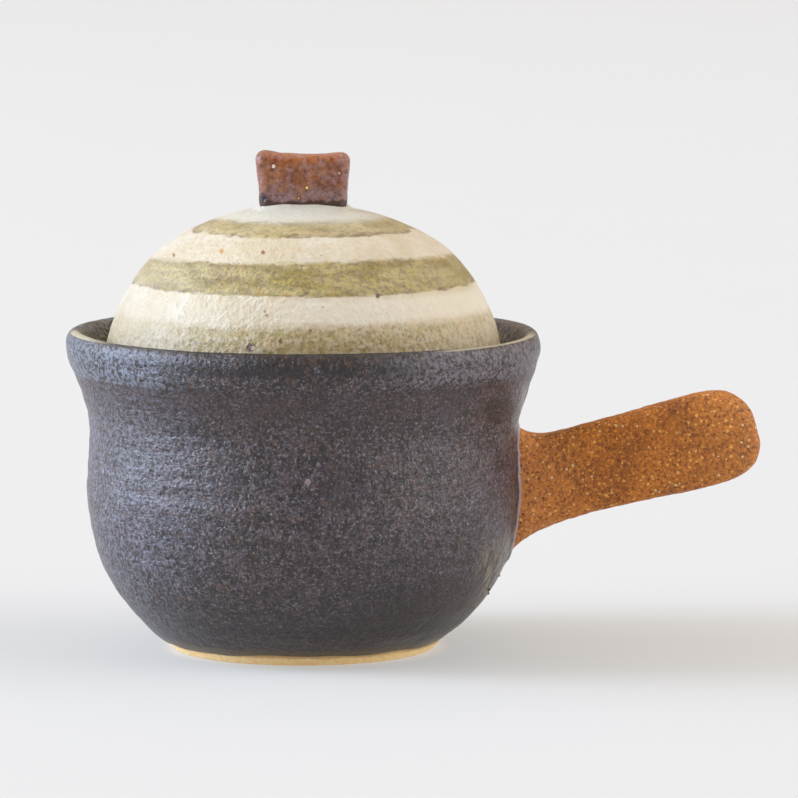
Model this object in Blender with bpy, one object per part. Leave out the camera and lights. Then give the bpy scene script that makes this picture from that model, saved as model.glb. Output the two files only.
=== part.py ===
"""A small stoneware rice pot for one: thrown pot, bare clay foot, side handle, domed lid and slab knob.

Metres, +Z up. The origin is on the pot's axis, in the plane that the foot stands on. The handle points to +X.
The lid pieces hang from an empty on the pot's axis at the seat, because the lid lifts straight up along it.
"""

import math

import bmesh
import bpy
from mathutils import Vector

MM = 0.001
SEAM = 0.3 * MM  # clearance between neighbouring pieces
TURNS = 60  # flats around every thrown piece

# Heights above the standing plane
FOOT_HEIGHT = 2.6 * MM
FLOOR_TOP = 8.0 * MM
SEAT_HEIGHT = 74.5 * MM
RIM_HEIGHT = 84.4 * MM
CROWN_HEIGHT = 117.7 * MM
KNOB_TOP = 131.3 * MM

# Radii
FOOT_RADIUS = 34.2 * MM
GLAZE_LINE_RADIUS = 37.3 * MM
BELLY_RADIUS = 57.5 * MM
NECK_RADIUS = 56.6 * MM
RIM_RADIUS = 62.75 * MM
SEAT_INNER_RADIUS = 49.3 * MM
SEAT_OUTER_RADIUS = 54.2 * MM
LID_RADIUS = 52.4 * MM
LID_EDGE_INNER_RADIUS = 47.9 * MM
LID_THICKNESS = 5.1 * MM  # at the crown

# Side handle: it starts inside the wall, where it is trimmed, rises outwards and ends in a rounded paddle
HANDLE_ROOT = Vector((57.0 * MM, 0.0, 43.0 * MM))
HANDLE_RISE = math.radians(14.4)
HANDLE_LENGTH = 65.0 * MM
HANDLE_START = -14.0 * MM
HANDLE_HALF_HEIGHT = 11.4 * MM
HANDLE_WAIST = 18.0 * MM
HANDLE_SWELL_LENGTH = 26.0 * MM
HANDLE_DROOP = 0.8 * MM
HANDLE_TIP_LENGTH = 15.5 * MM
HANDLE_TIP_POWER = 2.7
HANDLE_SECTION_POWER = 3.0
HANDLE_STATIONS = 12
HANDLE_TIP_STATIONS = 7
HANDLE_RING = 24

# Slab knob
KNOB_TOP_WIDTH = 25.1 * MM
KNOB_BASE_WIDTH = 22.6 * MM
KNOB_TOP_DEPTH = 12.8 * MM
KNOB_BASE_DEPTH = 11.8 * MM
KNOB_ROUNDING = 2.6 * MM
KNOB_ROUNDING_STEPS = 4
KNOB_SINK = 3.0 * MM  # how far the slab reaches below the crown before its base is trimmed


def clear_scene():
    for obj in list(bpy.data.objects):
        bpy.data.objects.remove(obj, do_unlink=True)


def clay(name, colour, roughness):
    """A plain fired-clay or glaze material."""
    material = bpy.data.materials.new(name)
    material.use_nodes = True
    shader = material.node_tree.nodes["Principled BSDF"]
    shader.inputs["Base Color"].default_value = (*colour, 1.0)
    shader.inputs["Roughness"].default_value = roughness
    shader.inputs["Metallic"].default_value = 0.0
    return material


def smooth_line(points, steps):
    """Points along a smooth curve through the given points, with this many steps between neighbours."""
    knots = [Vector(point) for point in points]
    knots = [2 * knots[0] - knots[1], *knots, 2 * knots[-1] - knots[-2]]
    line = []
    for before, start, end, after in zip(knots, knots[1:], knots[2:], knots[3:]):
        leave = (end - before) / 2
        arrive = (after - start) / 2
        for step in range(steps):
            t = step / steps
            line.append(
                start * (2 * t**3 - 3 * t**2 + 1)
                + leave * (t**3 - 2 * t**2 + t)
                + end * (3 * t**2 - 2 * t**3)
                + arrive * (t**3 - t**2)
            )
    line.append(knots[-2])
    return line


def object_from(bm, name, material, parent=None):
    """Turns the bmesh into a smooth-shaded object and frees it."""
    bmesh.ops.recalc_face_normals(bm, faces=bm.faces)
    mesh = bpy.data.meshes.new(name)
    bm.to_mesh(mesh)
    bm.free()
    mesh.shade_smooth()
    mesh.set_sharp_from_angle(angle=math.radians(35))
    obj = bpy.data.objects.new(name, mesh)
    obj.parent = parent
    if material:
        mesh.materials.append(material)
    bpy.context.scene.collection.objects.link(obj)
    return obj


def thrown(profile, name, material=None, parent=None):
    """A solid turned around Z from a (radius, height) profile whose two ends lie on the axis."""
    bm = bmesh.new()
    verts = [bm.verts.new((radius, 0.0, height)) for radius, height in profile]
    edges = [bm.edges.new(pair) for pair in zip(verts, verts[1:])]
    bmesh.ops.spin(
        bm,
        geom=verts + edges,
        cent=(0, 0, 0),
        axis=(0, 0, 1),
        angle=math.tau,
        steps=TURNS,
        use_merge=True,
    )
    bmesh.ops.remove_doubles(bm, verts=bm.verts, dist=0.001 * MM)
    return object_from(bm, name, material, parent)


def cutter(profile, name, parent=None):
    """A turned helper that Boolean modifiers subtract."""
    obj = thrown(profile, name, parent=parent)
    obj.hide_render = True
    obj.display_type = "WIRE"
    return obj


def cut_away(obj, tool):
    """Subtracts the helper from the object."""
    cut = obj.modifiers.new("seam", "BOOLEAN")
    cut.operation = "DIFFERENCE"
    cut.solver = "EXACT"
    cut.object = tool


def pot_outside():
    """The glazed outer wall, from the glaze line up to the inner edge of the flared rim."""
    return smooth_line(
        [
            (GLAZE_LINE_RADIUS, FOOT_HEIGHT + SEAM),
            (43.7 * MM, 8.2 * MM),
            (50.4 * MM, 16.6 * MM),
            (54.9 * MM, 26.5 * MM),
            (BELLY_RADIUS, 41.5 * MM),
            (NECK_RADIUS, 58.5 * MM),
            (58.3 * MM, 67.0 * MM),
            (61.8 * MM, 76.2 * MM),
            (RIM_RADIUS, 80.6 * MM),
            (60.8 * MM, RIM_HEIGHT),
            (58.4 * MM, 83.2 * MM),
        ],
        3,
    )


def pot_inside():
    """From the rim down past the lid's seat, along the inner wall and out across the floor."""
    flare = smooth_line(
        [
            (58.4 * MM, 83.2 * MM),
            (56.2 * MM, 79.4 * MM),
            (SEAT_OUTER_RADIUS, SEAT_HEIGHT),
        ],
        2,
    )
    seat_edge = [
        (SEAT_INNER_RADIUS, SEAT_HEIGHT),
        (SEAT_INNER_RADIUS, SEAT_HEIGHT - 1.2 * MM),
    ]
    wall = smooth_line(
        [
            (51.3 * MM, 69.0 * MM),
            (51.8 * MM, 60.0 * MM),
            (52.4 * MM, 42.0 * MM),
            (48.2 * MM, 22.0 * MM),
            (39.0 * MM, 11.5 * MM),
            (28.0 * MM, FLOOR_TOP),
        ],
        2,
    )
    return [*flare[1:], *seat_edge, *wall, (0.0, FLOOR_TOP)]


def make_pot_body(material):
    underside = [(0.0, FOOT_HEIGHT + SEAM)]
    return thrown([*underside, *pot_outside(), *pot_inside()], "pot_body", material)


def make_foot(material):
    """The unglazed foot that the pot stands on: a low flat disc that carries the belly's curve down."""
    return thrown(
        [
            (0.0, 0.0),
            (FOOT_RADIUS, 0.0),
            (FOOT_RADIUS + 0.7 * MM, 0.5 * MM),
            (GLAZE_LINE_RADIUS - 0.4 * MM, FOOT_HEIGHT),
            (0.0, FOOT_HEIGHT),
        ],
        "foot",
        material,
    )


def handle_edges(along):
    """How far the handle reaches above and below its axis here: flared at the wall, fuller in the paddle."""
    swell = min(1.0, max(0.0, (along - HANDLE_WAIST) / HANDLE_SWELL_LENGTH))
    top_flare = min(3.5 * MM, 2.8 * MM * math.exp(-(along - 4.7 * MM) / (3.0 * MM)))
    bottom_flare = min(6.0 * MM, 4.6 * MM * math.exp(-(along + 5.8 * MM) / (7.5 * MM)))
    top = HANDLE_HALF_HEIGHT + top_flare + 0.9 * MM * swell
    bottom = HANDLE_HALF_HEIGHT + bottom_flare + 1.3 * MM * swell
    return top, bottom


def handle_half_depth(along):
    """Half the handle's thickness, which thins from the root to the tip."""
    root = min(1.6 * MM, 1.6 * MM * math.exp(-(along + 1.0 * MM) / (8.0 * MM)))
    return 6.6 * MM - 0.5 * MM * max(0.0, along) / HANDLE_LENGTH + root


def make_handle(material, wall_tool):
    """An oval slab lofted along its own X axis, then trimmed to the pot's wall."""
    tip_start = HANDLE_LENGTH - HANDLE_TIP_LENGTH
    step = (tip_start - HANDLE_START) / HANDLE_STATIONS
    places = [(HANDLE_START + step * index, 1.0) for index in range(HANDLE_STATIONS)]
    for index in range(HANDLE_TIP_STATIONS):
        reach = math.sin(math.pi / 2 * index / HANDLE_TIP_STATIONS)
        narrowing = (1 - reach**HANDLE_TIP_POWER) ** (1 / HANDLE_TIP_POWER)
        places.append((tip_start + HANDLE_TIP_LENGTH * reach, narrowing))

    bm = bmesh.new()
    rings = []
    for along, narrowing in places:
        top, bottom = handle_edges(along)
        half_depth = handle_half_depth(along) * narrowing**0.8
        droop = HANDLE_DROOP * max(0.0, (along - tip_start) / HANDLE_TIP_LENGTH) ** 2
        ring = []
        for index in range(HANDLE_RING):
            angle = math.tau * index / HANDLE_RING
            across, up = math.cos(angle), math.sin(angle)
            power = 2 / HANDLE_SECTION_POWER
            depth = math.copysign(abs(across) ** power, across) * half_depth
            edge = top if up > 0 else bottom
            height = math.copysign(abs(up) ** power, up) * edge * narrowing
            ring.append(bm.verts.new((along, depth, height - droop)))
        rings.append(ring)
    bm.faces.new(rings[0])
    for ring, following in zip(rings, rings[1:]):
        for index in range(HANDLE_RING):
            after = (index + 1) % HANDLE_RING
            bm.faces.new((ring[index], ring[after], following[after], following[index]))
    tip = bm.verts.new((HANDLE_LENGTH, 0.0, -HANDLE_DROOP))
    for index in range(HANDLE_RING):
        bm.faces.new((rings[-1][index], rings[-1][(index + 1) % HANDLE_RING], tip))

    handle = object_from(bm, "handle", material)
    handle.location = HANDLE_ROOT
    handle.rotation_euler = (0.0, -HANDLE_RISE, 0.0)
    cut_away(handle, wall_tool)
    return handle


def lid_outside():
    """The dome's outer line from its lower edge up to the crown, measured from the seat."""
    line = smooth_line(
        [
            (LID_RADIUS, SEAT_HEIGHT + SEAM),
            (51.9 * MM, 82.0 * MM),
            (49.4 * MM, 90.2 * MM),
            (44.0 * MM, 99.7 * MM),
            (35.0 * MM, 108.4 * MM),
            (21.0 * MM, 114.8 * MM),
            (9.0 * MM, 117.2 * MM),
            (0.0, CROWN_HEIGHT),
        ],
        3,
    )
    return [(radius, height - SEAT_HEIGHT) for radius, height in line]


def lid_inside():
    """The dome's inner line from the crown down to its lower edge, measured from the seat."""
    line = smooth_line(
        [
            (0.0, CROWN_HEIGHT - LID_THICKNESS),
            (18.0 * MM, 110.6 * MM),
            (33.0 * MM, 103.8 * MM),
            (42.5 * MM, 92.5 * MM),
            (46.6 * MM, 82.0 * MM),
            (LID_EDGE_INNER_RADIUS, SEAT_HEIGHT + SEAM),
        ],
        2,
    )
    return [(radius, height - SEAT_HEIGHT) for radius, height in line]


def make_lid_dome(material, seat):
    return thrown([*lid_inside(), *lid_outside()], "lid_dome", material, seat)


def make_lid_knob(material, seat, dome_tool):
    """A slab that widens upwards, with rounded edges, whose base follows the lid's crown."""
    bm = bmesh.new()
    bmesh.ops.create_cube(bm, size=1.0)
    base = CROWN_HEIGHT - KNOB_SINK
    for vert in bm.verts:
        is_top = vert.co.z > 0
        width = KNOB_TOP_WIDTH if is_top else KNOB_BASE_WIDTH
        depth = KNOB_TOP_DEPTH if is_top else KNOB_BASE_DEPTH
        height = KNOB_TOP if is_top else base
        vert.co = (vert.co.x * width, vert.co.y * depth, height - SEAT_HEIGHT)
    above_base = [edge for edge in bm.edges if max(v.co.z for v in edge.verts) > base - SEAT_HEIGHT]
    bmesh.ops.bevel(
        bm,
        geom=above_base,
        offset=KNOB_ROUNDING,
        offset_type="OFFSET",
        segments=KNOB_ROUNDING_STEPS,
        profile=0.5,
        affect="EDGES",
    )
    knob = object_from(bm, "lid_knob", material, seat)
    cut_away(knob, dome_tool)
    return knob


def offset_line(line, distance):
    """The line moved this far to its right-hand side, as seen along it with the radius to the right."""
    moved = []
    for index, (radius, height) in enumerate(line):
        before = Vector(line[max(index - 1, 0)])
        after = Vector(line[min(index + 1, len(line) - 1)])
        run = (after - before).normalized()
        moved.append((max(0.0, radius + run.y * distance), height - run.x * distance))
    return moved


def wall_clearance():
    """The space that the pot's wall and its clearance take: a solid plug inside the outer wall."""
    wall = offset_line([point for point in pot_outside() if point[1] < SEAT_HEIGHT], SEAM)
    return [(0.0, wall[0][1]), *wall, (0.0, wall[-1][1])]


def dome_clearance():
    """The space that the lid's crown and its clearance take: a solid cap under the dome's outer line."""
    dome = offset_line(lid_outside(), SEAM)
    dome[-1] = (0.0, dome[-1][1])
    return [(0.0, dome[0][1]), *dome]


def main():
    clear_scene()
    dark_glaze = clay("dark_glaze", (0.080, 0.072, 0.078), 0.45)
    bare_clay = clay("bare_clay", (0.64, 0.49, 0.29), 0.85)
    handle_clay = clay("handle_clay", (0.34, 0.125, 0.036), 0.75)
    cream_glaze = clay("cream_glaze", (0.69, 0.61, 0.44), 0.4)
    knob_glaze = clay("knob_glaze", (0.24, 0.105, 0.065), 0.45)

    make_pot_body(dark_glaze)
    make_foot(bare_clay)
    make_handle(handle_clay, cutter(wall_clearance(), "wall_tool"))

    lid_seat = bpy.data.objects.new("lid_seat", None)
    lid_seat.location = (0.0, 0.0, SEAT_HEIGHT)
    bpy.context.scene.collection.objects.link(lid_seat)
    make_lid_dome(cream_glaze, lid_seat)
    make_lid_knob(knob_glaze, lid_seat, cutter(dome_clearance(), "dome_tool", lid_seat))


main()
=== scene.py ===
"""The looks of a small lidded stoneware rice pot: thrown surfaces, glazes and clays around the CAD frame.

Metres, +Z up. The pot's axis is Z, the handle points to +X and the front faces -Y.
"""

import math

import bpy
import numpy as np
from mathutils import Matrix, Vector, noise


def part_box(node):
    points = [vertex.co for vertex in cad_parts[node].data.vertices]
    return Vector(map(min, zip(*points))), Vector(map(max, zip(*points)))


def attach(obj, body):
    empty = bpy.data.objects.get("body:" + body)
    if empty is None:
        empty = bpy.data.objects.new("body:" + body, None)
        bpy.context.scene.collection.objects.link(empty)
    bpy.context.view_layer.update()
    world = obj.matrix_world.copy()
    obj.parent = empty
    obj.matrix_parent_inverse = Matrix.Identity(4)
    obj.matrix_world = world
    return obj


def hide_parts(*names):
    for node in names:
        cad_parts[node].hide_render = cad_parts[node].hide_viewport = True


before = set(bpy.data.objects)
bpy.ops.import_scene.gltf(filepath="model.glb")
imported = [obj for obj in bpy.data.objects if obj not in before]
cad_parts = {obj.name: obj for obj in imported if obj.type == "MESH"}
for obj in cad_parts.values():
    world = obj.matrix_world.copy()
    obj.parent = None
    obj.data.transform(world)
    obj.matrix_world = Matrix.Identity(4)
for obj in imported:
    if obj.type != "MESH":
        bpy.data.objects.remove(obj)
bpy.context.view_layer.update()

MM = 0.001
AZIMUTHS = 360  # columns of a thrown surface

# Camera, light and floor
CAMERA_PLACE = (25.3 * MM, -1510 * MM, 236.5 * MM)
CAMERA_PITCH = math.radians(90 - 6.439)
CAMERA_LENS = 258.6
KEY_HEIGHT = math.radians(24)
KEY_DISTANCE = 6.0
KEY_SIZE = (2.1, 3.0)
KEY_ENERGY = 228.0
KEY_COLOUR = (0.79, 0.99, 1.21)
ROOM_COLOUR = (1.17, 1.0, 0.78)
# Glows at the sides of the room: the way towards each, and its strength in red, green and blue
SIDE_GLOWS = (
    ((-0.94, 0.0, 0.34), (2.8, 3.2, 4.1)),
    ((0.91, -0.14, 0.38), (2.2, 2.3, 2.5)),
)
FLOOR_SIZE = 60.0
FLOOR_GLOW = 0.38
FLOOR_TONE = (0.862, 0.862, 0.858, 1.0)  # how bright the lit floor looks

# Handle: it starts inside the wall, rises outwards and ends in a rounded paddle
HANDLE_ROOT = Vector((57.0, 0.0, 43.0)) * MM
HANDLE_RISE = math.radians(14.4)
HANDLE_LENGTH = 65.0 * MM
HANDLE_BURIED = 2.2 * MM  # how far the handle starts inside the wall
HANDLE_HALF_HEIGHT = 11.4 * MM
HANDLE_HALF_DEPTH = 6.6 * MM
HANDLE_WAIST = 18.0 * MM  # how far along it the handle starts to swell
HANDLE_SWELL_LENGTH = 26.0 * MM
HANDLE_DROOP = 0.8 * MM
HANDLE_TIP_LENGTH = 15.5 * MM
HANDLE_TIP_POWER = 2.7
HANDLE_SECTION_POWER = 2.8
HANDLE_RING = 150
HANDLE_STATIONS = 100
HANDLE_TIP_STATIONS = 44

# Knob: a slab that widens upwards from just inside the lid's crown
KNOB_START = 116.0 * MM
KNOB_CELLS = 56  # squares along each side of the cube that becomes the knob
KNOB_BASE_SIZE = (22.9 * MM, 12.0 * MM)
KNOB_TOP_SIZE = (25.2 * MM, 12.9 * MM)
KNOB_ROUNDING = 2.5 * MM

# Heights of the brushed bands on the lid, as (bottom, top)
UPPER_BAND = (111.4 * MM, 114.4 * MM)
LOWER_BAND = (97.6 * MM, 104.4 * MM)
WASH_TOP = 90.2 * MM

# How much higher the bands' upper edges and the pot's rim stand, per metre of x and of y
BAND_LEAN = (0.0122, -0.0327)
RIM_LEAN = (-0.0049, 0.0041)

# Grains in the knob's front face: x and z in millimetres, radius, colour
KNOB_SPOTS = (
    (-7.7, 128.3, 0.55, (250, 222, 208)),
    (1.1, 122.7, 0.5, (252, 204, 110)),
    (-1.1, 119.9, 0.34, (236, 160, 66)),
    (9.6, 126.5, 0.4, (222, 176, 160)),
    (-10.4, 120.0, 0.9, (34, 20, 34)),
)
KNOB_PIT = (-10.4 * MM, 120.0 * MM)

# Grains, drips and blots in the front of the lid's glaze: x and z in millimetres, radius, colour
LID_SPOTS = (
    (-9.8, 108.0, 0.6, (146, 84, 58)),
    (-20.7, 108.0, 0.7, (206, 150, 96)),
    (-33.5, 106.0, 0.45, (142, 98, 66)),
    (-0.3, 108.8, 0.7, (212, 184, 148)),
    (-3.2, 97.8, 0.6, (196, 134, 72)),
    (19.8, 97.4, 0.6, (84, 62, 52)),
    (-8.6, 93.0, 0.5, (176, 130, 84)),
    (-9.1, 93.9, 0.4, (176, 130, 84)),
    (2.6, 89.3, 0.5, (140, 104, 76)),
    (-5.1, 86.7, 0.7, (124, 88, 58)),
    (30.7, 85.9, 0.5, (150, 132, 142)),
    (-26.9, 85.4, 0.5, (150, 132, 142)),
    (-12.8, 85.0, 1.3, (88, 62, 66)),
    (-12.2, 84.9, 0.55, (226, 206, 178)),
)

# Small dark balls of glaze on the pot's wall: angle round the pot, height and radius in millimetres
GLAZE_BALLS = (
    (-0.040, 23.9, 0.40),
    (-0.045, 19.2, 0.36),
    (-0.040, 14.4, 0.50),
    (-0.26, 17.0, 0.45),
)

# Low warts in the pot's glaze: angle round the pot, height, width and lift in millimetres
WARTS = (
    (-0.05, 18.0, 2.4, 0.10),
    (-0.33, 12.5, 0.8, 0.24),
    (0.12, 21.0, 0.8, 0.26),
    (0.30, 15.5, 0.9, 0.24),
    (-1.536, 51.2, 0.8, 0.30),
    (-2.09, 49.4, 0.7, 0.30),
    (-2.13, 49.0, 0.7, 0.34),
    (-2.17, 49.2, 0.7, 0.30),
    (-2.31, 78.6, 0.6, 0.34),
)

DARK = "glaze_dark"  # the point attribute that says where the dark balls of glaze stand
# The glaze bank round the handle's root is painted pale, partly as its highlight
BANK_AND_HIGHLIGHT = "glaze_bank_and_highlight"  # the point attribute that says where the glaze banks up against the handle


# Geometry helpers


def smooth_line(points, steps):
    """Points along a smooth curve through the given points in millimetres, as an array in metres."""
    knots = np.array(points, float) * MM
    knots = np.vstack([2 * knots[0] - knots[1], knots, 2 * knots[-1] - knots[-2]])
    t = (np.arange(steps) / steps)[:, None]
    runs = []
    for before, start, end, after in zip(knots, knots[1:], knots[2:], knots[3:]):
        leave, arrive = (end - before) / 2, (after - start) / 2
        runs.append(
            start * (2 * t**3 - 3 * t**2 + 1)
            + leave * (t**3 - 2 * t**2 + t)
            + end * (3 * t**2 - 2 * t**3)
            + arrive * (t**3 - t**2)
        )
    return np.vstack([*runs, knots[-2]])


def even_line(line, step):
    """The line with its points spread evenly, about this far apart."""
    lengths = np.hypot(*np.diff(line, axis=0).T)
    travelled = np.concatenate([[0.0], np.cumsum(lengths)])
    places = np.linspace(0.0, travelled[-1], max(2, round(travelled[-1] / step) + 1))
    return np.column_stack([np.interp(places, travelled, line[:, axis]) for axis in (0, 1)])


def grain(points, size, octaves=3):
    """Smooth noise, about -1 to 1, with features of this size, at each point."""
    return np.array([noise.fractal(Vector(point) / size, 1.0, 2.0, octaves) for point in points])


def bell(distance, width):
    """1 at distance 0, falling smoothly to nothing past the width."""
    return np.exp(-((distance / width) ** 2))


def ease(value, start, end):
    """0 before start, 1 after end, smooth between them."""
    t = np.clip((value - start) / (end - start), 0.0, 1.0)
    return t * t * (3 - 2 * t)


def mesh_object(name, points, faces, material, body, node):
    """A smooth-shaded piece that rides on a body and stands for a CAD node."""
    mesh = bpy.data.meshes.new(name)
    mesh.from_pydata(points.tolist(), [], faces)
    mesh.validate()
    mesh.shade_smooth()
    mesh.materials.append(material)
    obj = bpy.data.objects.new(name, mesh)
    bpy.context.scene.collection.objects.link(obj)
    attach(obj, body)
    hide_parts(node)
    return obj


def turned(line, relief):
    """Points and faces of a solid turned around Z from a line whose two ends lie on the axis.

    relief(points, outward) gives the points where they finally are.
    """
    tangent = np.gradient(line, axis=0)
    outward = np.column_stack([tangent[:, 1], -tangent[:, 0]])
    outward /= np.hypot(*outward.T)[:, None]
    angles = np.arange(AZIMUTHS) * math.tau / AZIMUTHS
    spokes = np.column_stack([np.cos(angles), np.sin(angles)])

    def spun(pairs):
        flat = pairs[:, None, :1] * spokes[None]
        up = np.repeat(pairs[:, None, 1:], AZIMUTHS, axis=1)
        return np.concatenate([flat, up], axis=2).reshape(-1, 3)

    rings = relief(spun(line[1:-1]), spun(outward[1:-1]))
    ends = np.array([[0.0, 0.0, rings[:AZIMUTHS, 2].mean()], [0.0, 0.0, rings[-AZIMUTHS:, 2].mean()]])
    points = np.vstack([rings, ends])
    first, last = len(rings), len(rings) + 1
    final_ring = len(rings) - AZIMUTHS
    faces = []
    for column in range(AZIMUTHS):
        after = (column + 1) % AZIMUTHS
        faces.append((first, after, column))
        faces.append((last, final_ring + column, final_ring + after))
        for ring in range(0, final_ring, AZIMUTHS):
            faces.append((ring + column, ring + after, ring + AZIMUTHS + after, ring + AZIMUTHS + column))
    return points, faces


# The handle's form, which the pot's wall also needs for its glaze collar


def handle_edges(along):
    """How far the handle reaches above and below its axis: flared at the wall, fuller in the paddle."""
    swell = np.clip((along - HANDLE_WAIST) / HANDLE_SWELL_LENGTH, 0.0, 1.0)
    top_flare = np.minimum(3.5 * MM, 2.8 * MM * np.exp(-(along - 4.7 * MM) / (3.0 * MM)))
    bottom_flare = np.minimum(6.0 * MM, 4.6 * MM * np.exp(-(along + 5.8 * MM) / (7.5 * MM)))
    top = HANDLE_HALF_HEIGHT + top_flare + 0.9 * MM * swell
    bottom = HANDLE_HALF_HEIGHT + bottom_flare + 1.3 * MM * swell
    return top, bottom


def handle_half_depth(along):
    """Half the handle's thickness: fuller at the wall, a little thinner towards the tip."""
    root = np.minimum(1.6 * MM, 1.6 * MM * np.exp(-(along + 1.0 * MM) / (8.0 * MM)))
    return HANDLE_HALF_DEPTH - 0.5 * MM * np.maximum(0.0, along) / HANDLE_LENGTH + root


def handle_axes():
    """The handle's own along, across and up directions."""
    rise, run = math.sin(HANDLE_RISE), math.cos(HANDLE_RISE)
    return np.array([[run, 0.0, rise], [0.0, 1.0, 0.0], [-rise, 0.0, run]])


def outside_handle(points):
    """How far each point near the wall lies outside the handle's outline."""
    along, across, up = ((points - np.array(HANDLE_ROOT)) @ handle_axes().T).T
    top, bottom = handle_edges(along)
    edge = np.where(up > 0, top, bottom)
    power = HANDLE_SECTION_POWER
    size = (np.abs(across / handle_half_depth(along)) ** power + np.abs(up / edge) ** power) ** (1 / power)
    gap = (1 - 1 / np.maximum(size, 1.0)) * np.hypot(across, up)
    return np.where(points[:, 0] > 0, gap, 1.0)


# Pot body


def pot_line():
    """The section of the pot body, from the middle of its underside round the outside, rim and inside."""
    under = np.array([(0.0, 2.9), (35.2, 2.9)]) * MM
    outer = smooth_line(
        [
            (35.6, 3.0),
            (36.6, 2.75),
            (37.5, 3.0),
            (43.7, 8.2),
            (50.4, 16.6),
            (54.9, 26.5),
            (57.5, 41.5),
            (56.6, 58.5),
            (58.3, 67.0),
            (61.8, 76.2),
            (62.75, 80.6),
            (62.2, 83.2),
            (60.8, 84.5),
            (59.2, 84.2),
            (58.2, 83.0),
            (56.2, 79.2),
            (54.6, 75.6),
            (53.6, 74.6),
        ],
        24,
    )
    seat = smooth_line([(53.6, 74.6), (52.0, 74.5), (50.2, 74.4), (49.4, 73.6), (49.6, 72.0)], 8)
    wall = smooth_line(
        [
            (49.6, 72.0),
            (51.3, 68.5),
            (51.8, 60.0),
            (52.4, 42.0),
            (48.2, 22.0),
            (39.0, 11.5),
            (28.0, 8.0),
        ],
        12,
    )
    floor = np.array([(28.0, 8.0), (0.05, 8.0)]) * MM
    return np.vstack(
        [
            [(0.0, 2.9 * MM)],
            even_line(under, 6 * MM)[1:],
            even_line(outer, 0.62 * MM),
            even_line(seat, 0.7 * MM)[1:],
            even_line(wall, 1.6 * MM)[1:],
            even_line(floor, 2.5 * MM)[1:-1],
            [(0.0, 8.0 * MM)],
        ]
    )


def pot_radius(height):
    """The outside radius of the pot at a height."""
    line = pot_line()
    outside = line[(line[:, 0] > 37 * MM) & (np.arange(len(line)) < np.argmax(line[:, 0]))]
    return np.interp(height, outside[:, 1], outside[:, 0])


def pot_relief(points, outward):
    """Throwing rings, glaze thickness, the collar round the handle, warts, and the hand's small errors."""
    radius = np.hypot(points[:, 0], points[:, 1])
    height = points[:, 2]
    angle = np.arctan2(points[:, 1], points[:, 0])
    outside = (outward[:, 0] * points[:, 0] + outward[:, 1] * points[:, 1] > 0) & (height > 3.4 * MM)

    rings = np.sin(height * math.tau / (5.6 * MM) + 0.55 * np.sin(angle + 1.0) + angle)
    ring_depth = 0.04 * MM + 0.02 * MM * ease(height, 60 * MM, 72 * MM)
    ring_depth *= 1 + 0.7 * grain(points, 30 * MM, 1)
    move = rings * ring_depth * outside
    move += 0.13 * MM * grain(points, 22 * MM, 2) * ease(radius, 5 * MM, 30 * MM)
    move += 0.06 * MM * grain(points, 3.2 * MM, 2)
    move += 0.02 * MM * grain(points + 0.3, 1.5 * MM, 2)

    # A shallow groove and ridge under the lip
    wander = 0.5 * MM * np.sin(angle * 2 + 0.7) + 0.4 * MM * np.sin(angle * 3 + 2.0)
    away_from_handle = outside * (1 - 0.8 * bell(angle, 0.6))
    move += away_from_handle * 0.16 * MM * bell(height + wander - 75.6 * MM, 1.8 * MM)
    move -= away_from_handle * 0.13 * MM * bell(height + wander - 72.4 * MM, 1.6 * MM)
    move -= outside * 0.16 * MM * bell(height + 0.7 * wander - 50.5 * MM, 1.1 * MM)
    move -= outside * 0.26 * MM * bell(height + 0.7 * wander - 46.6 * MM, 2.2 * MM)

    # Thicker glaze above the handle, and a collar where the glaze runs onto it
    move += outside * 0.65 * MM * bell(angle, 0.30) * bell(height - 67 * MM, 6.5 * MM)
    collar = bell(outside_handle(points), 1.25 * MM)
    move += outside * 0.75 * MM * collar * (height < 70 * MM)

    # Warts low on the right-hand side, a pimple in front, a scar to its left and a bubble under the lip
    for wart_angle, wart_height, size, lift in WARTS:
        along = (angle - wart_angle) * radius
        away = np.hypot(along, (height - wart_height * MM) * 1.1)
        move += outside * lift * MM * bell(away, size * MM)

    points = points + outward * move[:, None]

    # The glaze edge wavers above the foot and stands a little higher on the handle's side
    near_edge = 1 - ease(height, 3.2 * MM, 9 * MM)
    near_edge = near_edge * ease(radius, 34.0 * MM, 36.4 * MM)
    waver = 0.22 * np.sin(angle * 3 + 0.4) + 0.16 * np.sin(angle * 7 + 1.3) + 0.12 * np.sin(angle * 13)
    points[:, 2] += near_edge * (waver + 0.35 * np.cos(angle)) * MM

    # The rim is not quite level or round
    upper = ease(height, 30 * MM, 84 * MM)
    points[:, 2] += upper * (-0.30 * np.cos(angle) + 0.25 * np.sin(angle)) * MM
    points[:, 2] += upper * 0.14 * MM * np.sin(angle * 4 + 0.5)
    points[:, :2] *= 1 + (0.0016 * np.cos(angle * 2 + 0.6) * upper)[:, None]
    return points


def make_pot_body(material):
    """The glazed pot, with its balls of glaze, and marks on it for the glaze to read."""
    points, faces = turned(pot_line(), pot_relief)
    for angle, height, size in GLAZE_BALLS:
        ball_points, ball_faces = ball(on_the_wall(angle, height * MM), size * MM)
        faces.extend(tuple(len(points) + corner for corner in face) for face in ball_faces)
        points = np.vstack([points, ball_points])
    pot = mesh_object("glazed_pot", points, faces, material, "pot", "pot_body")
    near = bell(outside_handle(points) - 0.5 * MM, 1.1 * MM)
    mark(pot, BANK_AND_HIGHLIGHT, np.where(points[:, 2] < 70 * MM, near, 0.0))
    dark = np.zeros(len(points))
    for angle, height, _size in GLAZE_BALLS:
        away = np.linalg.norm(points - on_the_wall(angle, height * MM), axis=1)
        dark = np.maximum(dark, bell(away, 0.75 * MM))
    mark(pot, DARK, dark)


def on_the_wall(angle, height):
    """The place on the pot's outside at this angle and height."""
    across = pot_radius(height)
    return np.array([across * math.cos(angle), across * math.sin(angle), height])


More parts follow.
